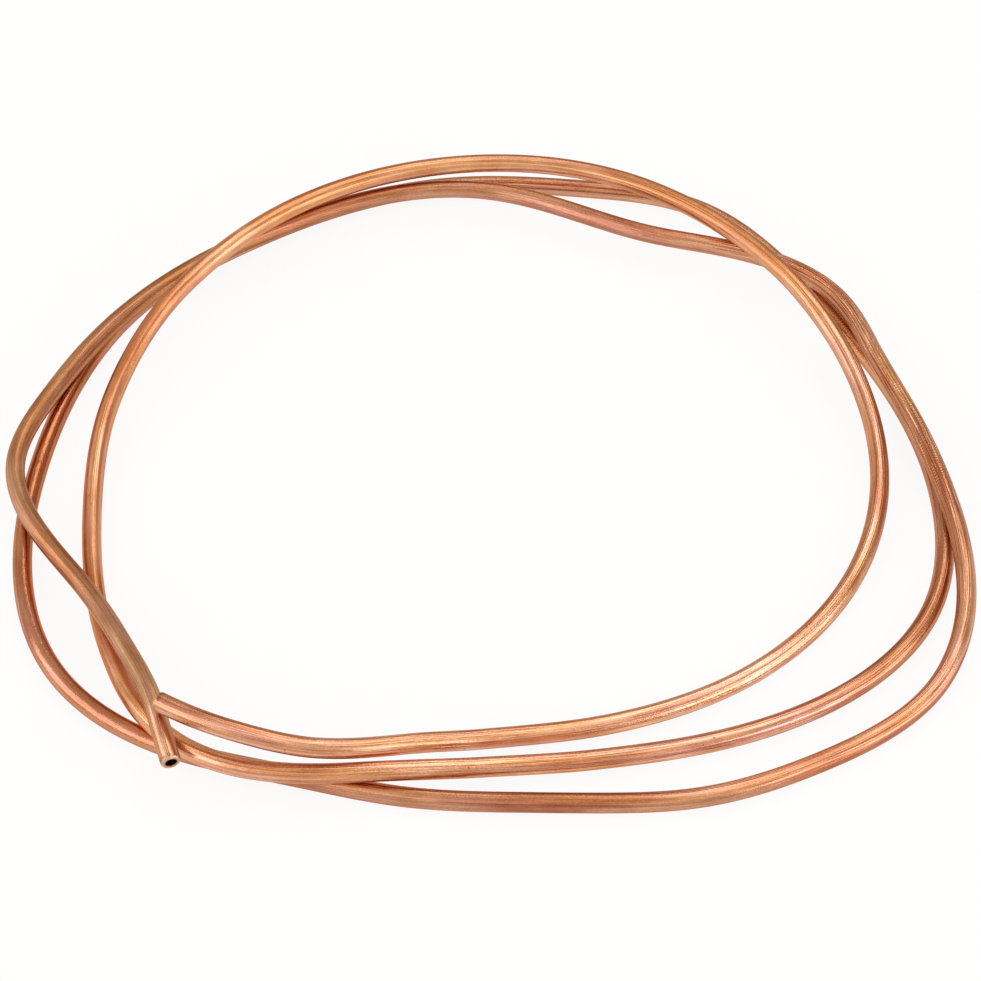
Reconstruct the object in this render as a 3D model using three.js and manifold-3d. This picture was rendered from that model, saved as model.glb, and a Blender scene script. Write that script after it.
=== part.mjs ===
// Soft copper tube, about two metres, lying in three loose hand-wound turns.
// One continuous hollow tube: end A rests on top of end B, and the turns cross and lean on
// one another on the way round. Millimetres, +Z up, the coil lies flat on the floor at z = 0.
import * as THREE from 'three';
import { mergeVertices } from 'three/addons/utils/BufferGeometryUtils.js';
import Module from 'manifold-3d';

// ---- driving sizes -------------------------------------------------------------------
const TUBE_OD = 4.76;         // outside diameter, 3/16 in tube
const WALL = 0.76;            // wall thickness
const COIL_RADIUS = 105;      // radius that the station offsets are measured from
const REST_GAP = 0.3;         // air left where one turn rests on another

// The tube cutter rolls the end inwards: the outer rim is rounded and the mouth narrowed.
const MOUTH_SHARE = 0.82;     // mouth diameter as a share of the bore
const RIM_ROLL = 0.4;         // how far the outer rim is drawn in
const RIM_DEPTH = 0.9;        // how far back along the tube the rounding starts
const LIP_LENGTH = 1.4;       // depth of the narrowed mouth before the full bore
const LIP_TAPER = 0.6;        // how much deeper the mouth eases out into the bore
const TAPER_SHARE = 0.9;      // width it eases out to, a share that stays inside the bore

// Sides and steps of the two sweeps.
const TUBE_SIDES = 12;
const TUBE_STEPS = 300;
const BORE_SIDES = 8;
const BORE_STEPS = 200;
const RIM_ARC_STEPS = 4;
const CUTTER_SIDES = 24;
const CUTTER_REACH = 1.5;     // how far the end cutters stand out past the cut face

// ---- sizes that follow ---------------------------------------------------------------
const TUBE_R = TUBE_OD / 2;
const BORE_R = TUBE_R - WALL;
const MOUTH_R = BORE_R * MOUTH_SHARE;
const PITCH = TUBE_OD + REST_GAP;

// ---- the route -----------------------------------------------------------------------
// Stations along the tube's centre line: [angle, offset, level].
// angle  degrees round the coil, seen from above, growing from end A to end B
// offset distance outside (+) or inside (-) COIL_RADIUS, in tube pitches
// level  height over the floor in tube pitches: 0 lies on the floor, 1 on one tube, ...

// First turn: end A on top of the tail, down to the floor, up over the crossing at the
// far right, across the far side on two tubes, down again at the left.
const INNER_TURN = [
  [230.7, 2.35, 3.15],
  [240, 1.6, 2.85],
  [250, 0.2, 2],
  [260, -1.7, 1.2],
  [270, -2.8, 0.55],
  [290, -3.1, 0.05],
  [310, -2.4, 0],
  [335, -1.6, 0],
  [360, -1.3, 0.45],
  [385, -1.4, 1.55],
  [400, -1.2, 2],
  [415, -0.7, 2.05],
  [430, -0.2, 2.05],
  [450, -0.2, 2.05],
  [480, -1, 2.05],
  [505, -1.8, 1.9],
  [530, -1.7, 0.65],
  [550, -1.4, 0.05],
  [565, -0.4, 0],
  [580, 1.2, 0.45],
];

// Second turn: over the outer turn at the near left, then on the floor the whole way
// round as the bottom strand of every crossing.
const MIDDLE_TURN = [
  [592, 2.4, 1.05],
  [602, 2, 1.1],
  [615, 0.2, 1],
  [630, -1.2, 0.5],
  [645, -1.3, 0.1],
  [665, 0.2, 0],
  [680, 1.7, 0],
  [695, 2.5, 0],
  [710, 1.9, 0],
  [730, 0.7, 0],
  [750, 0.2, 0],
  [765, 0.8, 0],
  [780, 1.6, 0],
  [795, 0.8, 0],
  [815, 0.4, 0],
  [835, 0, 0],
  [850, 0, 0],
  [865, 0.5, 0],
  [880, 0.7, 0],
  [900, 1.2, 0],
  [920, 2.6, 0],
  [935, 3.3, 0],
];

// Third turn: on the floor along the near side, then up on top of the second turn, and
// down the left side as a tail that ends over both other turns, pointing outwards.
const OUTER_TURN = [
  [950, 2.4, 0],
  [965, 0.8, 0],
  [980, 0.4, 0],
  [995, 0.5, 0],
  [1005, 1.2, 0],
  [1015, 2.3, 0],
  [1030, 3.6, 0],
  [1044, 4.7, 0.1],
  [1055, 4.2, 0.5],
  [1070, 2.2, 1],
  [1085, 0.7, 1],
  [1100, 0.2, 1],
  [1112, 0.6, 1],
  [1125, -0.5, 1],
  [1140, -2.4, 1],
  [1155, -2.3, 1],
  [1170, -1.2, 1],
  [1185, -0.9, 1],
  [1200, -1, 1],
  [1225, -0.2, 1],
  [1240, 0.6, 1],
  [1250, 1.3, 1],
  [1262, 2.2, 1],
  [1275, 1.2, 1],
  [1286, 0.2, 1.15],
  [1300, 0.65, 1.75],
  [1309, 2, 2.1],
  [1315.5, 3.85, 1.7],
];

// Slopes of the smooth (natural cubic) curve through the values v at the angles x.
function springSlopes(x, v) {
  const n = x.length;
  const upper = new Array(n).fill(0);
  const slope = new Array(n).fill(0);
  upper[0] = 0.5;
  slope[0] = (1.5 * (v[1] - v[0])) / (x[1] - x[0]);
  for (let i = 1; i < n; i += 1) {
    const before = 1 / (x[i] - x[i - 1]);
    const after = i < n - 1 ? 1 / (x[i + 1] - x[i]) : 0;
    const rise = (v[i] - v[i - 1]) * before * before;
    const next = i < n - 1 ? (v[i + 1] - v[i]) * after * after : 0;
    const pivot = 2 * (before + after) - before * upper[i - 1];
    upper[i] = after / pivot;
    slope[i] = (3 * (rise + next) - before * slope[i - 1]) / pivot;
  }
  for (let i = n - 2; i >= 0; i -= 1) slope[i] -= upper[i] * slope[i + 1];
  return slope;
}

// Slopes that never overshoot: level where the tube lies flat, even where it climbs, and
// straight on at both ends.
function restingSlopes(x, v) {
  const last = x.length - 1;
  const rise = (i) => (v[i + 1] - v[i]) / (x[i + 1] - x[i]);
  const slope = new Array(x.length).fill(0);
  slope[0] = rise(0);
  slope[last] = rise(last - 1);
  for (let i = 1; i < last; i += 1) {
    const before = rise(i - 1);
    const after = rise(i);
    if (before * after > 0) slope[i] = (2 * before * after) / (before + after);
  }
  return slope;
}

// Cubic between two neighbouring stations.
function blend(x, v, slope, i, at) {
  const span = x[i + 1] - x[i];
  const s = (at - x[i]) / span;
  const fromStart = (1 + 2 * s) * (1 - s) * (1 - s) * v[i];
  const startSlope = s * (1 - s) * (1 - s) * span * slope[i];
  const fromEnd = s * s * (3 - 2 * s) * v[i + 1];
  const endSlope = s * s * (s - 1) * span * slope[i + 1];
  return fromStart + startSlope + fromEnd + endSlope;
}

class TubeRoute extends THREE.Curve {
  constructor(stations) {
    super();
    this.angles = stations.map((station) => station[0]);
    this.offsets = stations.map((station) => station[1]);
    this.levels = stations.map((station) => station[2]);
    this.offsetSlopes = springSlopes(this.angles, this.offsets);
    this.levelSlopes = restingSlopes(this.angles, this.levels);
    this.arcLengthDivisions = 1500;
  }

  getPoint(t, target = new THREE.Vector3()) {
    const first = this.angles[0];
    const last = this.angles[this.angles.length - 1];
    const at = first + (last - first) * t;
    let i = 0;
    while (i < this.angles.length - 2 && at > this.angles[i + 1]) i += 1;
    const offset = blend(this.angles, this.offsets, this.offsetSlopes, i, at);
    const level = blend(this.angles, this.levels, this.levelSlopes, i, at);
    const radius = COIL_RADIUS + offset * PITCH;
    const angle = THREE.MathUtils.degToRad(at);
    const height = TUBE_R + level * PITCH;
    return target.set(radius * Math.cos(angle), radius * Math.sin(angle), height);
  }
}

// The stretch of a route that lies between two distances from its start.
class Stretch extends THREE.Curve {
  constructor(route, from, to) {
    super();
    this.route = route;
    this.from = from;
    this.to = to;
    this.total = route.getLength();
    this.arcLengthDivisions = 1500;
  }

  getPoint(t, target = new THREE.Vector3()) {
    const along = this.from + (this.to - this.from) * t;
    return this.route.getPointAt(along / this.total, target);
  }
}

function sweep(curve, radius, sides, steps) {
  const section = new THREE.Shape(new THREE.Path().absarc(0, 0, radius, 0, Math.PI * 2)
    .getSpacedPoints(sides).slice(0, sides));
  return new THREE.ExtrudeGeometry(section, { steps, extrudePath: curve, bevelEnabled: false });
}

// ---- the two cut ends ----------------------------------------------------------------
// Turned cutters: +Y is the tube's axis pointing out of the end, y = 0 is the cut face.
// The rim cutter stays within the gap to the strand that the end rests on.
function mouthCutter() {
  const inner = BORE_R * TAPER_SHARE;
  const depth = LIP_LENGTH + LIP_TAPER;
  const profile = [
    new THREE.Vector2(0, -depth),
    new THREE.Vector2(inner, -depth),
    new THREE.Vector2(MOUTH_R, -LIP_LENGTH / 3),
    new THREE.Vector2(MOUTH_R, CUTTER_REACH),
    new THREE.Vector2(0, CUTTER_REACH),
  ];
  return new THREE.LatheGeometry(profile, CUTTER_SIDES);
}

function rimCutter() {
  const outside = TUBE_R + REST_GAP / 3;
  const faceR = TUBE_R - RIM_ROLL;
  const profile = [];
  for (let i = 0; i <= RIM_ARC_STEPS; i += 1) {
    const turn = (i / RIM_ARC_STEPS) * Math.PI / 2;
    const radius = faceR + RIM_ROLL * Math.sin(turn);
    profile.push(new THREE.Vector2(radius, -RIM_DEPTH * (1 - Math.cos(turn))));
  }
  profile.push(new THREE.Vector2(outside, -RIM_DEPTH));
  profile.push(new THREE.Vector2(outside, CUTTER_REACH));
  profile.push(new THREE.Vector2(faceR, CUTTER_REACH));
  profile.push(profile[0].clone());
  return new THREE.LatheGeometry(profile, CUTTER_SIDES);
}

function placeAtEnd(geometry, point, outward) {
  const turn = new THREE.Quaternion();
  turn.setFromUnitVectors(new THREE.Vector3(0, 1, 0), outward);
  geometry.applyQuaternion(turn);
  geometry.translate(point.x, point.y, point.z);
  return geometry;
}

// ---- joining and cutting -------------------------------------------------------------
const wasm = await Module();
wasm.setup();

function toSolid(geometry) {
  const bare = geometry.clone();
  bare.deleteAttribute('normal');
  bare.deleteAttribute('uv');
  const merged = mergeVertices(bare, 1e-5);
  const vertProperties = new Float32Array(merged.attributes.position.array);
  const triVerts = new Uint32Array(merged.index.array);
  return new wasm.Manifold(new wasm.Mesh({ numProp: 3, vertProperties, triVerts }));
}

function toGeometry(solid) {
  const mesh = solid.getMesh();
  const geometry = new THREE.BufferGeometry();
  const positions = new Float32Array(mesh.vertProperties);
  geometry.setAttribute('position', new THREE.BufferAttribute(positions, 3));
  geometry.setIndex(new THREE.BufferAttribute(new Uint32Array(mesh.triVerts), 1));
  geometry.computeVertexNormals();
  return geometry;
}

function copperTube() {
  const route = new TubeRoute([...INNER_TURN, ...MIDDLE_TURN, ...OUTER_TURN]);
  const length = route.getLength();
  const boreRoute = new Stretch(route, LIP_LENGTH, length - LIP_LENGTH);
  let tube = toSolid(sweep(route, TUBE_R, TUBE_SIDES, TUBE_STEPS));
  tube = tube.subtract(toSolid(sweep(boreRoute, BORE_R, BORE_SIDES, BORE_STEPS)));
  const ends = [
    [route.getPoint(0), route.getTangent(0).negate()],
    [route.getPoint(1), route.getTangent(1)],
  ];
  for (const [point, outward] of ends) {
    tube = tube.subtract(toSolid(placeAtEnd(mouthCutter(), point, outward)));
    tube = tube.subtract(toSolid(placeAtEnd(rimCutter(), point, outward)));
  }
  return toGeometry(tube);
}

// ---- the part ------------------------------------------------------------------------
const copper = new THREE.MeshStandardMaterial({
  color: '#b87046',
  roughness: 0.32,
  metalness: 1,
});

const tubeMesh = new THREE.Mesh(copperTube(), copper);
tubeMesh.name = 'copper_tube';

// The group's origin is the middle of the coil's footprint, on the floor.
const box = new THREE.Box3().setFromObject(tubeMesh);
const middle = box.getCenter(new THREE.Vector3());
tubeMesh.geometry.translate(-middle.x, -middle.y, -box.min.z);

const part = new THREE.Group();
part.name = 'copper_tube_coil';
part.add(tubeMesh);

export default part;
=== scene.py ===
import math

import bpy
import numpy as np
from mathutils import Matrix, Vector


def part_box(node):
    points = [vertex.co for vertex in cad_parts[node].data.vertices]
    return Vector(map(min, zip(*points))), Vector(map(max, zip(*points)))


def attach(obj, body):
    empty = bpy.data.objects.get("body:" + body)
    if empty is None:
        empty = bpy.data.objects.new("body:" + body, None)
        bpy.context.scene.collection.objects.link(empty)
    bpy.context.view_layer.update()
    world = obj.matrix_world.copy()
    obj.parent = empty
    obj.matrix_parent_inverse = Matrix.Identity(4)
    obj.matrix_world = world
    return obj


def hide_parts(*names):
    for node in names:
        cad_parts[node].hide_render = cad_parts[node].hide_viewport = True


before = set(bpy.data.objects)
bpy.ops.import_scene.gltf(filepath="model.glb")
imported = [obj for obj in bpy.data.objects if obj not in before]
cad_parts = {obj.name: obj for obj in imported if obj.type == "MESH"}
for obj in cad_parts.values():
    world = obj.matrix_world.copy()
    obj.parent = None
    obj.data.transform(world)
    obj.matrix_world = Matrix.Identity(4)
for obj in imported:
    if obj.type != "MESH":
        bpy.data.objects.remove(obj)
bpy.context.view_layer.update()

# One length of soft copper tube, wound by hand into three loose turns that lie on white
# paper. The tube is made straight, each point keeps its straight place for the finish to
# follow, and nodes then lay the tube along its route.

# ---- sizes, in metres ----------------------------------------------------------------
MM = 0.001
TUBE_R = 2.38 * MM          # 3/16 in tube, with a wall of 0.76 mm
BORE_R = 1.62 * MM
COIL_RADIUS = 105 * MM      # radius that the station offsets are measured from
REST_GAP = 0.3 * MM         # air left where one turn rests on another
PITCH = 2 * TUBE_R + REST_GAP

# The cut ends: the cutter's wheel rolls the outer rim inwards and narrows the mouth.
MOUTH_R = 1.33 * MM
RIM_ROLL = 0.4 * MM         # how far the outer rim is drawn in
RIM_DEPTH = 0.9 * MM        # how far back along the tube the rounding starts
LIP_EDGE = 0.12 * MM        # rounding between the cut face and the mouth
LIP_LENGTH = 1.4 * MM       # depth of the narrowed mouth
LIP_TAPER = 0.6 * MM        # half of the depth in which it then reaches the full bore

# Handling leaves the tube slightly uneven: how far its radius differs between the highest
# swelling and the deepest hollow, and how long and wide a swelling is.
DENT_DEPTH = 0.05 * MM
DENT_LENGTH = 25 * MM
DENT_WIDTH = 2.5 * MM

# Steps of the mesh.
SIDES = 36
OUTER_STEP = 1.35 * MM      # between rings along the outside
BORE_STEP = 4 * MM          # and along the bore
RIM_STEPS = 8
LIP_STEPS = 4
ROUTE_POINTS = 3000

FLOOR_REACH = 4             # from the middle of the floor to each of its sides

# Stations along the centre line: degrees round the coil, offset from COIL_RADIUS and
# height over the floor, both in pitches.
STATIONS = [
    # first turn: end A on top of the tail, down to the floor, up over the far side, down
    (230.7, 2.35, 3.15), (240, 1.6, 2.85), (250, 0.2, 2), (260, -1.7, 1.2),
    (270, -2.8, 0.55), (290, -3.1, 0.05), (310, -2.4, 0), (335, -1.6, 0), (360, -1.3, 0.45),
    (385, -1.4, 1.55), (400, -1.2, 2), (415, -0.7, 2.05), (430, -0.2, 2.05),
    (450, -0.2, 2.05), (480, -1, 2.05), (505, -1.8, 1.9), (530, -1.7, 0.65),
    (550, -1.4, 0.05), (565, -0.4, 0), (580, 1.2, 0.45),
    # second turn: over the third at the near left, then the bottom strand all round
    (592, 2.4, 1.05), (602, 2, 1.1), (615, 0.2, 1), (630, -1.2, 0.5), (645, -1.3, 0.1),
    (665, 0.2, 0), (680, 1.7, 0), (695, 2.5, 0), (710, 1.9, 0), (730, 0.7, 0),
    (750, 0.2, 0), (765, 0.8, 0), (780, 1.6, 0), (795, 0.8, 0), (815, 0.4, 0), (835, 0, 0),
    (850, 0, 0), (865, 0.5, 0), (880, 0.7, 0), (900, 1.2, 0), (920, 2.6, 0), (935, 3.3, 0),
    # third turn: on the floor, up on the second at the right, and last over it as the tail
    (950, 2.4, 0), (965, 0.8, 0), (980, 0.4, 0), (995, 0.5, 0), (1005, 1.2, 0),
    (1015, 2.3, 0), (1030, 3.6, 0), (1044, 4.7, 0.1), (1055, 4.2, 0.5), (1070, 2.2, 1),
    (1085, 0.7, 1), (1100, 0.2, 1), (1112, 0.6, 1), (1125, -0.5, 1), (1140, -2.4, 1),
    (1155, -2.3, 1), (1170, -1.2, 1), (1185, -0.9, 1), (1200, -1, 1), (1225, -0.2, 1),
    (1240, 0.6, 1), (1250, 1.3, 1), (1262, 2.2, 1), (1275, 1.2, 1), (1286, 0.2, 1.15),
    (1300, 0.65, 1.75), (1309, 2, 2.1), (1315.5, 3.85, 1.7),
]


# ---- camera --------------------------------------------------------------------------
# A long lens in front of the coil, looking down at it from 46 degrees over the floor.
camera_data = bpy.data.cameras.new("camera")
camera_data.sensor_width = 36
camera_data.lens = 118.64
camera = bpy.data.objects.new("camera", camera_data)
camera.location = (0.00173, -0.5656, 0.5790)
camera.rotation_euler = (math.radians(44), 0, 0)
bpy.context.scene.collection.objects.link(camera)
bpy.context.scene.camera = camera
bpy.context.scene.view_settings.view_transform = "Standard"


# ---- small tools ---------------------------------------------------------------------
def colour(hex_value, alpha=1.0):
    """Linear colour of an sRGB hex value."""
    parts = [int(hex_value[at:at + 2], 16) / 255 for at in (1, 3, 5)]
    linear = [part / 12.92 if part <= 0.04045 else ((part + 0.055) / 1.055) ** 2.4 for part in parts]
    return linear + [alpha]


def add(tree, kind, inputs=None, stops=(), **settings):
    """Adds a node. An input is a value, the socket that feeds it, or a node that feeds it
    from its first live output. Stops are the positions and colours of a colour ramp."""
    node = tree.nodes.new(kind)
    for key, value in settings.items():
        setattr(node, key, value)
    for key, value in (inputs or {}).items():
        if isinstance(value, bpy.types.Node):
            value = next(socket for socket in value.outputs if socket.enabled)
        if isinstance(value, bpy.types.NodeSocket):
            tree.links.new(value, node.inputs[key])
        else:
            node.inputs[key].default_value = value
    if stops:
        node.color_ramp.interpolation = "EASE"
        for position, _ in stops[2:]:
            node.color_ramp.elements.new(position)
        for element, (position, tint) in zip(node.color_ramp.elements, stops):
            element.position = position
            element.color = tint
    return node


def link_object(name, data):
    """A new object of the scene, at the origin."""
    made = bpy.data.objects.new(name, data)
    bpy.context.scene.collection.objects.link(made)
    return made


# ---- the route -----------------------------------------------------------------------
def spring_slopes(angles, values):
    """Slopes of the natural cubic curve through the values, as a bent spring would lie."""
    count = len(angles)
    matrix = np.zeros((count, count))
    right = np.zeros(count)
    for i in range(count):
        if i > 0:
            before = 1 / (angles[i] - angles[i - 1])
            matrix[i, i - 1] = before
            matrix[i, i] += 2 * before
            right[i] += 3 * (values[i] - values[i - 1]) * before * before
        if i < count - 1:
            after = 1 / (angles[i + 1] - angles[i])
            matrix[i, i + 1] = after
            matrix[i, i] += 2 * after
            right[i] += 3 * (values[i + 1] - values[i]) * after * after
    return np.linalg.solve(matrix, right)


def resting_slopes(angles, values):
    """Slopes that never overshoot, so the tube lies flat between two equal levels."""
    rise = np.diff(values) / np.diff(angles)
    slopes = np.zeros(len(angles))
    slopes[0] = rise[0]
    slopes[-1] = rise[-1]
    for i in range(1, len(angles) - 1):
        before, after = rise[i - 1], rise[i]
        if before * after > 0:
            slopes[i] = 2 * before * after / (before + after)
    return slopes


def between(angles, values, slopes, at):
    """The values at the angles at, by the cubic piece from each station to the next."""
    i = np.clip(np.searchsorted(angles, at, side="right") - 1, 0, len(angles) - 2)
    span = angles[i + 1] - angles[i]
    share = (at - angles[i]) / span
    rest = 1 - share
    start = (1 + 2 * share) * rest ** 2 * values[i] + share * rest ** 2 * span * slopes[i]
    end = (share * share * (3 - 2 * share) * values[i + 1]
           + share * share * (share - 1) * span * slopes[i + 1])
    return start + end


def route_points():
    """The centre line, with the middle of its box under the middle of the CAD tube's."""
    angles, offsets, levels = (np.array(column, float) for column in zip(*STATIONS))
    at = np.linspace(angles[0], angles[-1], ROUTE_POINTS)
    radius = COIL_RADIUS + PITCH * between(angles, offsets, spring_slopes(angles, offsets), at)
    level = between(angles, levels, resting_slopes(angles, levels), at)
    turn = np.radians(at)
    points = np.stack([radius * np.cos(turn), radius * np.sin(turn), TUBE_R + PITCH * level], 1)
    low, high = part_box("copper_tube")
    middle = (points.min(0) + points.max(0)) / 2
    points[:, 0] += (low[0] + high[0]) / 2 - middle[0]
    points[:, 1] += (low[1] + high[1]) / 2 - middle[1]
    return points


def route_curve(points):
    """A curve object along the centre line, for the nodes to lay the tube on."""
    data = bpy.data.curves.new("route", "CURVE")
    data.dimensions = "3D"
    spline = data.splines.new("POLY")
    spline.points.add(len(points) - 1)
    spline.points.foreach_set("co", np.hstack([points, np.ones((len(points), 1))]).ravel())
    return link_object("route", data)


# ---- the straight tube ---------------------------------------------------------------
def end_rings():
    """(depth from the cut face, radius) from the outside, over the rim, into the bore."""
    rings = []
    for step in range(1, RIM_STEPS + 1):
        turn = step / RIM_STEPS * math.pi / 2
        rings.append((RIM_DEPTH * (1 - math.sin(turn)),
                      TUBE_R - RIM_ROLL * (1 - math.cos(turn))))
    for step in range(LIP_STEPS + 1):
        turn = step / LIP_STEPS * math.pi / 2
        rings.append((LIP_EDGE * (1 - math.cos(turn)),
                      MOUTH_R + LIP_EDGE * (1 - math.sin(turn))))
    # the mouth stays narrow for a third of its depth, is about half widened at its end and
    # then eases out into the bore
    half_wide = MOUTH_R + (BORE_R - MOUTH_R) * 0.55
    rings.append((LIP_LENGTH / 3, MOUTH_R))
    rings.append((LIP_LENGTH, half_wide))
    rings.append((LIP_LENGTH + LIP_TAPER, BORE_R * 0.98))
    rings.append((LIP_LENGTH + 2 * LIP_TAPER, BORE_R))
    return rings


def straight_tube(length):
    """The closed wall of the tube along X: outside, end B, the bore back, end A."""
    ends = end_rings()
    outer = np.linspace(RIM_DEPTH, length - RIM_DEPTH, int(length / OUTER_STEP))
    deep = ends[-1][0]
    bore = np.linspace(length - deep, deep, int(length / BORE_STEP))[1:-1]
    rings = [(at, TUBE_R) for at in outer]
    rings += [(length - depth, radius) for depth, radius in ends]
    rings += [(at, BORE_R) for at in bore]
    rings += [(depth, radius) for depth, radius in reversed(ends)]

    turn = np.linspace(0, 2 * math.pi, SIDES, endpoint=False)
    ring = np.array(rings)
    verts = np.zeros((len(rings), SIDES, 3))
    verts[:, :, 0] = ring[:, :1]
    verts[:, :, 1] = ring[:, 1:] * np.cos(turn)
    verts[:, :, 2] = ring[:, 1:] * np.sin(turn)

    # each face joins two neighbours of a ring to the same two of the next ring, and the last
    # ring is joined to the first, so that the wall closes on itself
    here = np.arange(len(rings))[:, None]
    there = (here + 1) % len(rings)
    side = np.arange(SIDES)[None, :]
    beside = (side + 1) % SIDES
    faces = np.stack(np.broadcast_arrays(here * SIDES + side, here * SIDES + beside,
                                         there * SIDES + beside, there * SIDES + side), -1)
    data = bpy.data.meshes.new("straight_tube")
    data.from_pydata(verts.reshape(-1, 3).tolist(), [], faces.reshape(-1, 4).tolist())
    data.shade_smooth()
    return link_object("straight_tube", data)


def lay_tree(material):
    """Bends a straight tube along a route and gives it the slight unevenness of handling."""
    tree = bpy.data.node_groups.new("lay_tube", "GeometryNodeTree")
    tree.interface.new_socket("Straight tube", in_out="INPUT", socket_type="NodeSocketGeometry")
    tree.interface.new_socket("Route", in_out="INPUT", socket_type="NodeSocketObject")
    for name in ("Dent depth", "Dent length", "Dent width"):
        tree.interface.new_socket(name, in_out="INPUT", socket_type="NodeSocketFloat")
    tree.interface.new_socket("Laid tube", in_out="OUTPUT", socket_type="NodeSocketGeometry")
    given = add(tree, "NodeGroupInput")

    place = add(tree, "GeometryNodeInputPosition").outputs[0]
    kept = add(tree, "GeometryNodeStoreNamedAttribute",
               {"Geometry": given.outputs["Straight tube"], "Name": "straight_place", "Value": place},
               data_type="FLOAT_VECTOR", domain="POINT")

    # the radius swells and shrinks by a noise that is drawn out along the tube
    size = add(tree, "ShaderNodeCombineXYZ", {"X": given.outputs["Dent length"],
               "Y": given.outputs["Dent width"], "Z": given.outputs["Dent width"]})
    scaled = add(tree, "ShaderNodeVectorMath", {0: place, 1: size.outputs[0]}, operation="DIVIDE")
    noise = add(tree, "ShaderNodeTexNoise", {"Vector": scaled.outputs[0], "Scale": 1.0, "Detail": 1.0})
    swing = add(tree, "ShaderNodeMath", {0: noise.outputs[0], 1: 0.5}, operation="SUBTRACT")
    share = add(tree, "ShaderNodeMath", {0: given.outputs["Dent depth"], 1: TUBE_R}, operation="DIVIDE")
    factor = add(tree, "ShaderNodeMath", {0: swing.outputs[0], 1: share.outputs[0], 2: 1.0},
                 operation="MULTIPLY_ADD")

    # a point's x is its distance along the route, its y is laid off level and square to the
    # route there, and its z square to both
    route = add(tree, "GeometryNodeObjectInfo", {"Object": given.outputs["Route"]})
    upright = add(tree, "GeometryNodeSetCurveNormal", {"Curve": route.outputs["Geometry"]}, mode="Z_UP")
    parts = add(tree, "ShaderNodeSeparateXYZ", {0: place})
    sample = add(tree, "GeometryNodeSampleCurve", {"Curves": upright.outputs[0],
                 "Length": parts.outputs["X"]}, mode="LENGTH")
    square = add(tree, "ShaderNodeVectorMath", {0: sample.outputs["Tangent"],
                 1: sample.outputs["Normal"]}, operation="CROSS_PRODUCT")
    y = add(tree, "ShaderNodeMath", {0: parts.outputs["Y"], 1: factor.outputs[0]}, operation="MULTIPLY")
    z = add(tree, "ShaderNodeMath", {0: parts.outputs["Z"], 1: factor.outputs[0]}, operation="MULTIPLY")
    y_step = add(tree, "ShaderNodeVectorMath", {0: sample.outputs["Normal"], "Scale": y.outputs[0]},
                 operation="SCALE")
    z_step = add(tree, "ShaderNodeVectorMath", {0: square.outputs[0], "Scale": z.outputs[0]},
                 operation="SCALE")
    step = add(tree, "ShaderNodeVectorMath", {0: y_step.outputs[0], 1: z_step.outputs[0]})
    laid = add(tree, "ShaderNodeVectorMath", {0: step.outputs[0], 1: sample.outputs["Position"]})
    moved = add(tree, "GeometryNodeSetPosition", {"Geometry": kept.outputs[0],
                "Position": laid.outputs[0]})
    real = add(tree, "GeometryNodeRealizeInstances", {0: moved.outputs[0]})
    painted = add(tree, "GeometryNodeSetMaterial", {"Geometry": real.outputs[0], "Material": material})
    add(tree, "NodeGroupOutput", {0: painted.outputs[0]})
    return tree


def laid_tube(points, length, material):
    """The tube as it lies in the coil, as a plain mesh."""
    route = route_curve(points)
    straight = straight_tube(length)
    tree = lay_tree(material)
    modifier = straight.modifiers.new("lay", "NODES")
    modifier.node_group = tree
    sockets = {item.name: item.identifier for item in tree.interface.items_tree}
    modifier[sockets["Route"]] = route
    modifier[sockets["Dent depth"]] = DENT_DEPTH
    modifier[sockets["Dent length"]] = DENT_LENGTH
    modifier[sockets["Dent width"]] = DENT_WIDTH
    evaluated = straight.evaluated_get(bpy.context.evaluated_depsgraph_get())
    mesh = bpy.data.meshes.new_from_object(evaluated)
    straight.modifiers.remove(modifier)
    bpy.data.objects.remove(straight)
    bpy.data.objects.remove(route)
    mesh.name = "tube_coil"
    return link_object("tube_coil", mesh)


# ---- the copper ----------------------------------------------------------------------
# Finishes of the skin: colour, roughness, grain and how far it is scored.
FRESH = ("#FED0B2", 0.19, 0.6, 0.22)      # the palest and the grainiest, bright
ROSE = ("#F4C1A9", 0.25, 0.35, 0.30)      # clean and pinkish, lightly scored
GOLDEN = ("#F9C69F", 0.27, 0.2, 0.12)     # clean and yellowish
HONEY = ("#FFC39C", 0.33, 0.2, 0.10)      # yellowish too, with a broad soft highlight
BROWN = ("#DAA68A", 0.25, 0.5, 0.14)      # browned by handling
RUDDY = ("#E0A58A", 0.13, 0.4, 0.0)       # browned but polished, with no scores
SCUFFED = ("#E4AA8B", 0.12, 0.45, 1.0)    # scored the most, and glossy in between
TAN = ("#D8AA8A", 0.36, 0.25, 0.15)       # dulled to a satin brown
WORN = ("#E8BC9E", 0.26, 0.3, 0.20)       # rubbed half bright again

# Where each finish is at its fullest, as a share of the length from end A.
SKIN = [
    (0.00, ROSE),       # end A and the first turn's near side
    (0.08, FRESH),      # first turn, coming up the right
    (0.12, ROSE),       # first turn, right
    (0.17, GOLDEN),     # first turn, far side
    (0.29, HONEY),      # first turn, left
    (0.34, FRESH),      # second turn, where it comes down off the third
    (0.375, ROSE),      # second turn, near side
    (0.43, BROWN),      # second turn, right
    (0.475, FRESH),     # second turn, where it comes out from under the third; pale here in part as painted light, where the turns above shade it
    (0.52, BROWN),      # second turn, far side
    (0.62, RUDDY),      # second turn, left
    (0.70, BROWN),      # third turn, near side
    (0.75, ROSE),       # third turn, coming up the right
    (0.80, SCUFFED),    # third turn, right
    (0.85, BROWN),      # third turn, far side
    (0.93, TAN),        # third turn, left
    (0.975, WORN),      # the tail, to end B
]
WANDER = 0.06           # share of the length within which a change of finish shifts

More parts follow.
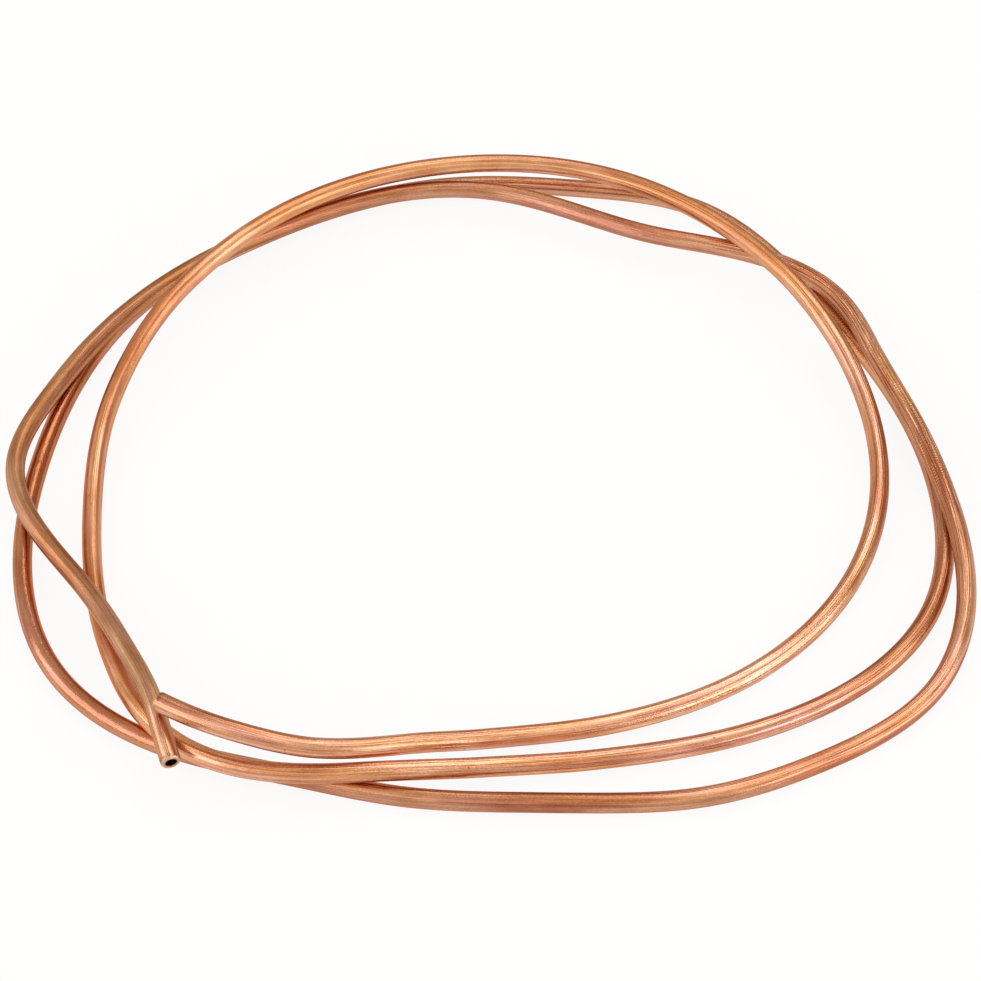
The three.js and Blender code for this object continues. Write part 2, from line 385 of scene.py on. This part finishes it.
# Tints that are multiplied over the finishes.
HANDLED = "#E8D2BC"     # browner where the tube has been held
GOLD_OXIDE = "#FFF4D6"
MAUVE_OXIDE = "#F4E4EC"
DARK_MARK = "#CDB19A"   # the darkest that lines, bands, patches and grain can make it
EDGE_TINT = "#D8BAA8"   # keeps the edges pale brown, where clean metal's would be white

# How strongly the draw lines and bands show where the tube isn't scored, and where it is
# scored the most.
LINES_PLAIN = 0.25
LINES_SCORED = 3.25

# Shares of the length where a bender has chattered and left fine ripples across the tube,
# and how far from there, as shares too, they start to fade and are gone.
CHATTER = [0.455, 0.785]
CHATTER_FADE = (0.0036, 0.012)
RIPPLE = 0.9 * MM
RIPPLE_BEND = 14.0      # how far the patches bend the ripples, in radians

# Pits: at most one in each cube of this size, full out to its core and gone at its edge,
# and how many of the cubes hold one where the tube is smooth and where it is scored.
PIT_CELL = 3.2 * MM
PIT_CORE = 0.128 * MM
PIT_EDGE = 0.352 * MM
PITS_PLAIN = 0.05
PITS_SCORED = 0.5

# Where the marks of the cut ends fade out: two depths from the cut face and, for the bore,
# two radii.
CUT_FADE = (0.2 * MM, 0.6 * MM)
# where the painted shade of the rolled rims fades out
RIM_SHADE_FADE = (0.7 * MM, 1.8 * MM)
BORE_FADE = (1.45 * MM, 1.75 * MM)

# What is added to the roughness from one patch to the next, and by the cut on the rims.
PATCH_ROUGHNESS = 0.15
RIM_ROUGHNESS = 0.12

# Noises drawn out along the tube: length and width of a streak in mm, detail, roughness.
# Real draw lines are a few hundredths of a millimetre wide and real grain is as fine. Both
# are drawn coarser here, so that they show.
NOISES = {
    "lines": (18, 0.28, 1, 0.5),      # draw lines
    "bands": (70, 0.8, 1, 0.5),       # broader draw marks, that line up the highlights
    "grain": (0.35, 0.25, 1, 0.5),    # annealed grain
    "patches": (9, 2.2, 3, 0.6),      # wiped and touched patches
    "mottle": (3.5, 1.1, 2, 0.5),     # the unevenness that breaks a highlight into blotches
    "hue": (40, 1.5, 3, 0.6),         # oxide tints in long streaks
    "drift": (45, 4, 2, 0.5),         # how far a change of finish is shifted
    "handling": (60, 9, 2, 0.5),      # fresher and browner parts of a stretch
    "crossing": (60, 0.75, 0, 0.5),   # a score runs wherever this crosses its middle
    "bunches": (38, 3, 1, 0.5),       # where there are scores at all
}

# How strongly each pattern picks out paler and browner metal, where the bands count as 1.
SHADING = {"lines": 0.8, "patches": 0.7, "grain": 1.1}

# Relief: what each pattern adds to the height of the surface, in mm, at its strongest.
RELIEF = {"bands": 0.16, "mottle": 0.05, "lines": 0.06, "grain": 0.07, "scores_and_glints": -0.14,
          "chatter": 0.04, "pits": -0.04}

# Marks laid over the skin: how far they cover it at most, and their colour.
MARKS = {
    "scores_and_glints": (0.4, "#FFD4AC"),       # paler metal in the grooves, partly freshly cut and partly a painted glint
    "pits": (0.7, "#8A5038"),
    "painted_rim_shade": (0.7, "#7E4E38"),         # painted shade, in patches where the rim rolls in
    "rim": (0.6, "#ECBEA4"),          # pale, freshly cut metal
    "bore": (0.7, "#8E5A42"),         # browned, as nothing rubs it
}


def finish_along(tree, share, drift):
    """Colour, roughness, grain and scoring of the finish at a share of the length. One ramp
    holds the colours, with the roughness as their alpha, and another the grain and scoring.
    The changes wander a little, so that no stretch ends on a line."""
    off = add(tree, "ShaderNodeMath", {0: drift, 1: 0.5}, operation="SUBTRACT")
    where = add(tree, "ShaderNodeMath", {0: off, 1: WANDER, 2: share}, operation="MULTIPLY_ADD")
    skin = add(tree, "ShaderNodeValToRGB", {0: where},
               stops=[(at, colour(tint, rough)) for at, (tint, rough, _, _) in SKIN])
    wear = add(tree, "ShaderNodeValToRGB", {0: where},
               stops=[(at, (grain, scored, 0, 1)) for at, (_, _, grain, scored) in SKIN])
    wear = add(tree, "ShaderNodeSeparateColor", {0: wear})
    return (skin.outputs["Color"], skin.outputs["Alpha"],
            wear.outputs["Red"], wear.outputs["Green"])


def weigh_draw_marks(tree, field, grain, scored):
    """Makes a stretch show its grain as its finish says, and its draw lines and bands the
    more strongly the more it is scored."""
    off = add(tree, "ShaderNodeMath", {0: field["grain"], 1: 0.5}, operation="SUBTRACT")
    field["grain"] = add(tree, "ShaderNodeMath", {0: off, 1: grain}, operation="MULTIPLY")
    lined = add(tree, "ShaderNodeMath", {0: scored, 1: LINES_SCORED - LINES_PLAIN,
                2: LINES_PLAIN}, operation="MULTIPLY_ADD")
    for name in ("lines", "bands"):
        off = add(tree, "ShaderNodeMath", {0: field[name], 1: 0.5}, operation="SUBTRACT")
        field[name] = add(tree, "ShaderNodeMath", {0: off, 1: lined}, operation="MULTIPLY")


def die_scores(tree, field, scored):
    """Grooves that the die has left in bunches. Real ones are 0.05 mm wide, these about
    0.3 mm, so that they show."""
    off = add(tree, "ShaderNodeMath", {0: field["crossing"], 1: 0.5}, operation="SUBTRACT")
    off = add(tree, "ShaderNodeMath", {0: off}, operation="ABSOLUTE")
    groove = add(tree, "ShaderNodeMapRange", {"Value": off, "From Max": 0.12, "To Min": 1.0,
                 "To Max": 0.0}, interpolation_type="SMOOTHSTEP")
    bunch = add(tree, "ShaderNodeMapRange", {"Value": field["bunches"], "From Min": 0.36,
                "From Max": 0.50}, interpolation_type="SMOOTHSTEP")
    groove = add(tree, "ShaderNodeMath", {0: groove, 1: bunch}, operation="MULTIPLY")
    return add(tree, "ShaderNodeMath", {0: groove, 1: scored}, operation="MULTIPLY")


def bender_chatter(tree, patches, along, share):
    """Ripples across the tube, bent and broken by the patches, over short stretches."""
    phase = add(tree, "ShaderNodeMath", {0: along, 1: 2 * math.pi / RIPPLE}, operation="MULTIPLY")
    phase = add(tree, "ShaderNodeMath", {0: patches, 1: RIPPLE_BEND, 2: phase},
                operation="MULTIPLY_ADD")
    ripples = add(tree, "ShaderNodeMath", {0: phase}, operation="SINE")
    broken = add(tree, "ShaderNodeMapRange", {"Value": patches, "From Min": 0.46,
                 "From Max": 0.60}, interpolation_type="SMOOTHSTEP")
    ripples = add(tree, "ShaderNodeMath", {0: ripples, 1: broken}, operation="MULTIPLY")
    near = 0.0
    for middle in CHATTER:
        away = add(tree, "ShaderNodeMath", {0: share, 1: middle}, operation="SUBTRACT")
        away = add(tree, "ShaderNodeMath", {0: away}, operation="ABSOLUTE")
        window = add(tree, "ShaderNodeMapRange", {"Value": away, "From Min": CHATTER_FADE[0],
                     "From Max": CHATTER_FADE[1], "To Min": 1.0, "To Max": 0.0},
                     interpolation_type="SMOOTHSTEP")
        near = add(tree, "ShaderNodeMath", {0: window, 1: near}, operation="MAXIMUM")
    return add(tree, "ShaderNodeMath", {0: ripples, 1: near}, operation="MULTIPLY")


def pits(tree, place, scored):
    """Specks, the more of them the more the tube is scored. They are about 0.5 mm across,
    where real ones are half that, so that they show."""
    cells = add(tree, "ShaderNodeVectorMath", {0: place, "Scale": 1 / PIT_CELL}, operation="SCALE")
    spot = add(tree, "ShaderNodeTexVoronoi", {"Vector": cells, "Scale": 1.0})
    chance = add(tree, "ShaderNodeSeparateColor", {0: spot.outputs["Color"]})
    rarity = add(tree, "ShaderNodeMath", {0: scored, 1: PITS_PLAIN - PITS_SCORED,
                 2: 1 - PITS_PLAIN}, operation="MULTIPLY_ADD")
    chosen = add(tree, "ShaderNodeMath", {0: chance, 1: rarity}, operation="GREATER_THAN")
    speck = add(tree, "ShaderNodeMapRange", {"Value": spot, "From Min": PIT_CORE / PIT_CELL,
                "From Max": PIT_EDGE / PIT_CELL, "To Min": 1.0, "To Max": 0.0},
                interpolation_type="SMOOTHSTEP")
    return add(tree, "ShaderNodeMath", {0: speck, 1: chosen}, operation="MULTIPLY")


def tinted_skin(tree, field, skin):
    """The skin, browned by handling, tinted gold and mauve by its oxide, and paler and
    browner by turns in its lines, bands, patches and grain."""
    white = colour("#FFFFFF")
    handled = add(tree, "ShaderNodeValToRGB", {0: field["handling"]},
                  stops=[(0.42, white), (0.62, colour(HANDLED))])
    oxide = add(tree, "ShaderNodeValToRGB", {0: field["hue"]},
                stops=[(0.38, colour(GOLD_OXIDE)), (0.50, white), (0.62, colour(MAUVE_OXIDE))])
    mixed = field["bands"]
    for name, weight in SHADING.items():
        mixed = add(tree, "ShaderNodeMath", {0: field[name], 1: weight, 2: mixed},
                    operation="MULTIPLY_ADD")
    shade = add(tree, "ShaderNodeMapRange", {"Value": mixed, "From Min": 0.08, "From Max": 0.66})
    shade = add(tree, "ShaderNodeMix", {0: shade, 6: colour(DARK_MARK), 7: white},
                data_type="RGBA")
    for layer in (handled, oxide, shade):
        skin = add(tree, "ShaderNodeMix", {0: 1.0, 6: skin, 7: layer}, data_type="RGBA",
                   blend_type="MULTIPLY")
    return skin


def mark_ends(tree, field, parts, length):
    """Marks out the cut rims, the bore behind them and the painted shade in patches round them."""
    along = parts.outputs["X"]
    other = add(tree, "ShaderNodeMath", {0: length, 1: along}, operation="SUBTRACT")
    depth = add(tree, "ShaderNodeMath", {0: along, 1: other}, operation="MINIMUM")
    spoke = add(tree, "ShaderNodeCombineXYZ", {"Y": parts.outputs["Y"], "Z": parts.outputs["Z"]})
    radius = add(tree, "ShaderNodeVectorMath", {0: spoke}, operation="LENGTH")
    inside = add(tree, "ShaderNodeMapRange", {"Value": radius, "From Min": BORE_FADE[0],
                 "From Max": BORE_FADE[1], "To Min": 1.0, "To Max": 0.0},
                 interpolation_type="SMOOTHSTEP")
    cut = add(tree, "ShaderNodeMapRange", {"Value": depth, "From Min": CUT_FADE[0],
              "From Max": CUT_FADE[1], "To Min": 1.0, "To Max": 0.0},
              interpolation_type="SMOOTHSTEP")
    outside = add(tree, "ShaderNodeMath", {0: 1.0, 1: inside}, operation="SUBTRACT")
    field["rim"] = add(tree, "ShaderNodeMath", {0: cut, 1: outside}, operation="MULTIPLY")
    behind = add(tree, "ShaderNodeMath", {0: 1.0, 1: cut}, operation="SUBTRACT")
    field["bore"] = add(tree, "ShaderNodeMath", {0: inside, 1: behind}, operation="MULTIPLY")

    # the painted shade of the rolled rims lies in patches
    past = add(tree, "ShaderNodeMapRange", {"Value": depth, "From Min": RIM_SHADE_FADE[0],
               "From Max": RIM_SHADE_FADE[1], "To Min": 1.0, "To Max": 0.0},
               interpolation_type="SMOOTHSTEP")
    painted_rim_shade = add(tree, "ShaderNodeMapRange", {"Value": field["mottle"], "From Min": 0.38,
               "From Max": 0.58}, interpolation_type="SMOOTHSTEP")
    field["painted_rim_shade"] = add(tree, "ShaderNodeMath", {0: painted_rim_shade, 1: past}, operation="MULTIPLY")


def annealed_copper(length):
    """Soft-drawn copper tube, annealed and handled: a satin metal whose draw lines stretch
    every highlight along the tube, browned where it has been held and stored, under a thin
    film of drawing oil that lays a paler, sharper shine over the colour."""
    made = bpy.data.materials.new("annealed drawn copper")
    made.use_nodes = True
    tree = made.node_tree
    tree.nodes.clear()

    place = add(tree, "ShaderNodeAttribute", attribute_name="straight_place",
                attribute_type="GEOMETRY").outputs["Vector"]
    parts = add(tree, "ShaderNodeSeparateXYZ", {0: place})
    along = parts.outputs["X"]
    share = add(tree, "ShaderNodeMath", {0: along, 1: length}, operation="DIVIDE")

    field = {}
    for name, (run, width, detail, rough) in NOISES.items():
        drawn = add(tree, "ShaderNodeVectorMath", {0: place, 1: (run * MM, width * MM, width * MM)},
                    operation="DIVIDE")
        field[name] = add(tree, "ShaderNodeTexNoise", {"Vector": drawn, "Scale": 1.0,
                          "Detail": detail, "Roughness": rough})

    skin, rough, grain, scored = finish_along(tree, share, field["drift"])
    weigh_draw_marks(tree, field, grain, scored)
    field["scores_and_glints"] = die_scores(tree, field, scored)
    field["chatter"] = bender_chatter(tree, field["patches"], along, share)
    field["pits"] = pits(tree, place, scored)
    metal = tinted_skin(tree, field, skin)
    mark_ends(tree, field, parts, length)
    # two of these marks are painted light: a painted glint in the scores and a painted shade behind the
    # rims
    for name, (most, tint) in MARKS.items():
        cover = add(tree, "ShaderNodeMath", {0: field[name], 1: most}, operation="MULTIPLY")
        metal = add(tree, "ShaderNodeMix", {0: cover, 6: metal, 7: colour(tint)}, data_type="RGBA")

    relief = 0.0
    for name, height in RELIEF.items():
        relief = add(tree, "ShaderNodeMath", {0: field[name], 1: height, 2: relief},
                     operation="MULTIPLY_ADD")
    normal = add(tree, "ShaderNodeBump", {"Height": relief, "Strength": 1.0, "Distance": MM})

    gloss = add(tree, "ShaderNodeMath", {0: field["patches"], 1: 0.5}, operation="SUBTRACT")
    gloss = add(tree, "ShaderNodeMath", {0: gloss, 1: PATCH_ROUGHNESS, 2: rough},
                operation="MULTIPLY_ADD")
    gloss = add(tree, "ShaderNodeMath", {0: field["rim"], 1: RIM_ROUGHNESS, 2: gloss},
                operation="MULTIPLY_ADD")
    # the duller a stretch, the more of its film of oil has dried off
    film = add(tree, "ShaderNodeMapRange", {"Value": rough, "From Min": 0.24, "From Max": 0.40,
               "To Min": 0.18, "To Max": 0.06})
    shader = add(tree, "ShaderNodeBsdfPrincipled", {"Base Color": metal, "Metallic": 1.0,
                 "Roughness": gloss, "Normal": normal, "Specular Tint": colour(EDGE_TINT),
                 "Coat Weight": film, "Coat Roughness": 0.12, "Coat IOR": 1.5,
                 "Coat Normal": normal})
    add(tree, "ShaderNodeOutputMaterial", {"Surface": shader})
    return made


# ---- the piece -----------------------------------------------------------------------
centre_line = route_points()
tube_length = float(np.linalg.norm(np.diff(centre_line, axis=0), axis=1).sum())
tube = laid_tube(centre_line, tube_length, annealed_copper(tube_length))
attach(tube, "root")
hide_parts("copper_tube")


# ---- floor ---------------------------------------------------------------------------
def matt_paper():
    """Matt white paper sweep. It shows white to the camera and to the metal, and keeps a
    soft shadow."""
    made = bpy.data.materials.new("matt white paper")
    made.use_nodes = True
    tree = made.node_tree
    tree.nodes.clear()
    rays = add(tree, "ShaderNodeLightPath")
    # the camera sees a little of the paper's own shading, which is where the shadow shows
    direct = add(tree, "ShaderNodeMath", {0: rays.outputs["Is Camera Ray"], 1: 0.9},
                 operation="MULTIPLY")
    share = add(tree, "ShaderNodeMath", {0: rays.outputs["Is Glossy Ray"], 1: direct},
                operation="MAXIMUM")
    share = add(tree, "ShaderNodeMath", {0: rays.outputs["Is Transmission Ray"], 1: share},
                operation="MAXIMUM")
    paper = add(tree, "ShaderNodeBsdfDiffuse", {"Color": (0.9, 0.9, 0.9, 1)})
    glow = add(tree, "ShaderNodeEmission", {"Color": (1, 1, 1, 1), "Strength": 1.0})
    both = add(tree, "ShaderNodeMixShader", {0: share, 1: paper, 2: glow})
    add(tree, "ShaderNodeOutputMaterial", {"Surface": both})
    return made


def paper_floor():
    corners = [(-FLOOR_REACH, -FLOOR_REACH, 0), (FLOOR_REACH, -FLOOR_REACH, 0),
               (FLOOR_REACH, FLOOR_REACH, 0), (-FLOOR_REACH, FLOOR_REACH, 0)]
    data = bpy.data.meshes.new("floor")
    data.from_pydata(corners, [], [(0, 1, 2, 3)])
    data.materials.append(matt_paper())
    return link_object("floor", data)


floor = paper_floor()


# ---- room and lamps ------------------------------------------------------------------
ROOM_LEVEL = 0.60                     # brightness of the room, where plain white is 1
ROOM_SLOPE = (-0.13, -0.12, 0.16)     # brighter to the left, in front and overhead
ROOM_TINT = "#FFF6E6"                 # slightly warm

# Softboxes: azimuth and elevation in degrees, distance, width and height in metres, level
# and tint. Azimuth 0 is behind the coil and 90 to its right. The two at the sides are
# slightly cool and the one in front is warm.
SOFTBOXES = {
    "left_softbox": (-108, 31, 1.5, 1.9, 1.1, 1.5, "#F0F6FF"),
    "right_softbox": (114, 20, 1.5, 1.5, 0.95, 2.45, "#F0F6FF"),
    "back_strip": (20, 52, 1.6, 0.7, 0.5, 1.9, "#FFFFFF"),
    "top_softbox": (60, 72, 1.4, 0.9, 0.7, 1.1, "#FFFFFF"),
    "front_softbox": (180, 48, 1.8, 1.6, 0.5, 0.7, "#FFECD2"),
}


def light_room():
    """Soft light from all round, that the camera sees as plain white."""
    world = bpy.data.worlds.new("studio")
    bpy.context.scene.world = world
    world.use_nodes = True
    tree = world.node_tree
    tree.nodes.clear()
    direction = add(tree, "ShaderNodeTexCoord").outputs["Generated"]
    slope = add(tree, "ShaderNodeVectorMath", {0: direction, 1: ROOM_SLOPE},
                operation="DOT_PRODUCT")
    level = add(tree, "ShaderNodeMath", {0: slope, 1: ROOM_LEVEL})
    rays = add(tree, "ShaderNodeLightPath")
    strength = add(tree, "ShaderNodeMath", {0: rays.outputs["Is Camera Ray"], 1: level},
                   operation="MAXIMUM")
    tint = add(tree, "ShaderNodeMix", {0: rays.outputs["Is Camera Ray"], 6: colour(ROOM_TINT),
               7: (1, 1, 1, 1)}, data_type="RGBA")
    sky = add(tree, "ShaderNodeBackground", {"Color": tint, "Strength": strength})
    add(tree, "ShaderNodeOutputWorld", {"Surface": sky})


def softbox(name, azimuth, elevation, distance, width, height, level, tint):
    """A rectangular lamp that faces the coil, as bright as white paper times level."""
    data = bpy.data.lights.new(name, "AREA")
    data.shape = "RECTANGLE"
    data.size = width
    data.size_y = height
    data.energy = level * math.pi * width * height
    data.color = colour(tint)[:3]
    lamp = link_object(name, data)
    turn = math.radians(azimuth)
    rise = math.radians(elevation)
    lamp.location = (distance * math.sin(turn) * math.cos(rise),
                     distance * math.cos(turn) * math.cos(rise), distance * math.sin(rise))
    lamp.rotation_euler = (math.pi / 2 - rise, 0, math.pi - turn)


light_room()
for name, settings in SOFTBOXES.items():
    softbox(name, *settings)
